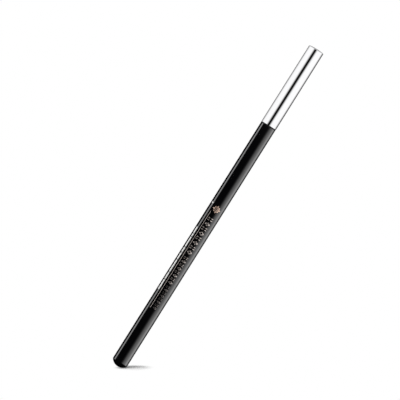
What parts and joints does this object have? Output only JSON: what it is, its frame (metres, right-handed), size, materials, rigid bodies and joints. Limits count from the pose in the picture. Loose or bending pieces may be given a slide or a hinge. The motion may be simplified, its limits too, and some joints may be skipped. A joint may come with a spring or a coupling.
{
  "type": "eyeliner pencil",
  "caption": "Round lacquered wood-cased eyeliner pencil with a domed blind end, a sharpened soft core and a drawn metal cap over its point.",
  "frame": {"origin": "lowest point of the domed blind end, on the pencil's axis", "axes": "+Z along the pencil from the domed end to its point and cap; the glue line of the casing lies in the plane x = 0"},
  "size_m": [0.0082, 0.0082, 0.1793],
  "materials": {
    "lead": "soft waxy black pigment, satin where it was cut",
    "wood_left": "bare sharpened softwood, pinkish, fine straight grain",
    "wood_right": "bare sharpened softwood, tan, fine straight grain",
    "undercoat": "cream primer, seen only where it was cut",
    "lacquer": "black gloss lacquer with foil and ink printing",
    "cap_metal": "bright anodised, drawn"
  },
  "bodies": {
    "pencil": {"core": "lead", "slat_left": "wood_left", "slat_right": "wood_right", "undercoat": "undercoat", "lacquer": "lacquer"},
    "cap": {"cap": "cap_metal"}
  },
  "joints": [
    {"name": "cap_pull", "type": "slide", "parent": "pencil", "child": "cap", "axis": [0, 0, 1], "range_m": [0, 0.05]}
  ]
}
